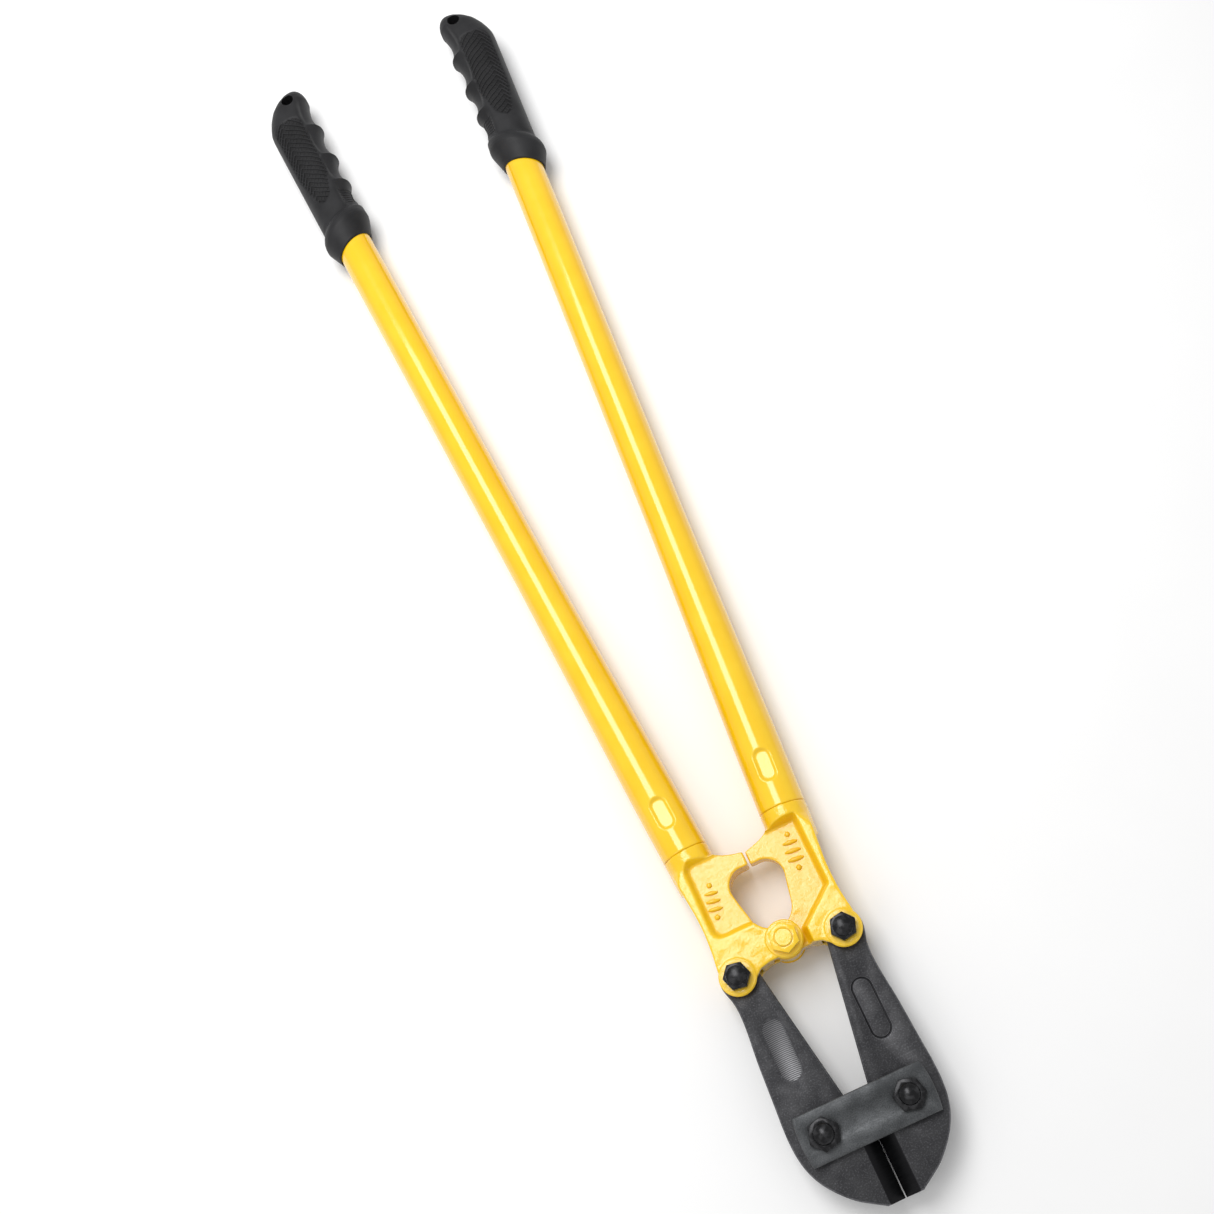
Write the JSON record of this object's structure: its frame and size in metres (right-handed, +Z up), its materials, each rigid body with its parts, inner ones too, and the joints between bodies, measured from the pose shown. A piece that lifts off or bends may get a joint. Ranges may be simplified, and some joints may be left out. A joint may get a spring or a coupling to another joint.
{
  "type": "bolt cutters",
  "caption": "Long-handled bolt cutters lying flat: compound lever jaws joined by strap plates, cast handle ends, tubular steel handles and ribbed rubber grips.",
  "frame": {"origin": "bottom centre of the tool's bounding box, on the bench it lies on", "axes": "+X across the tool to the right-hand grip, +Y from the jaws towards the grips, +Z up off the bench through the pivots"},
  "size_m": [0.1876, 0.9026, 0.0433],
  "materials": {
    "cast_yellow_enamel": "glossy sprayed enamel over a sand-cast skin",
    "tube_yellow_enamel": "smooth glossy baked enamel",
    "grip_rubber": "matt moulded rubber with a knurled panel",
    "forged_black_steel": "black-oxide drop forging, satin and slightly grainy",
    "strap_steel": "grey-black blasted plate with light rub marks",
    "black_oxide_fastener": "oiled black-oxide nuts and domed bolt ends"
  },
  "bodies": {
    "left_handle": {"left_handle_casting": "cast_yellow_enamel", "left_handle_tube": "tube_yellow_enamel", "left_grip": "grip_rubber", "centre_bolt": "cast_yellow_enamel", "centre_nut": "cast_yellow_enamel", "left_ear_bolt": "black_oxide_fastener", "left_ear_nut": "black_oxide_fastener"},
    "right_handle": {"right_handle_casting": "cast_yellow_enamel", "right_handle_tube": "tube_yellow_enamel", "right_grip": "grip_rubber", "right_ear_bolt": "black_oxide_fastener", "right_ear_nut": "black_oxide_fastener"},
    "left_jaw": {"left_jaw": "forged_black_steel"},
    "right_jaw": {"right_jaw": "forged_black_steel"},
    "strap_plates": {"upper_strap_plate": "strap_steel", "lower_strap_plate": "strap_steel", "left_jaw_bolt": "black_oxide_fastener", "left_jaw_nut": "black_oxide_fastener", "right_jaw_bolt": "black_oxide_fastener", "right_jaw_nut": "black_oxide_fastener"}
  },
  "joints": [
    {"name": "handle_fold", "type": "hinge", "parent": "left_handle", "child": "right_handle", "pos_m": [0, -0.29131, 0.02], "axis": [0, 0, -1], "range_deg": [0, 90]},
    {"name": "left_ear_pivot", "type": "hinge", "parent": "left_handle", "child": "left_jaw", "pos_m": [-0.0351, -0.30011, 0.02], "axis": [0, 0, -1], "range_deg": [0, 53.55]},
    {"name": "right_ear_pivot", "type": "hinge", "parent": "right_handle", "child": "right_jaw", "pos_m": [0.0351, -0.30011, 0.02], "axis": [0, 0, 1], "range_deg": [0, 53.55]},
    {"name": "strap_pivot", "type": "hinge", "parent": "left_jaw", "child": "strap_plates", "pos_m": [-0.0273, -0.40161, 0.02], "axis": [0, 0, 1], "range_deg": [0, 8.55]}
  ],
  "couplings": [
    {"joint": "left_ear_pivot", "follows": "handle_fold", "ratio": 0.595},
    {"joint": "right_ear_pivot", "follows": "handle_fold", "ratio": 0.595},
    {"joint": "strap_pivot", "follows": "handle_fold", "ratio": 0.095}
  ]
}
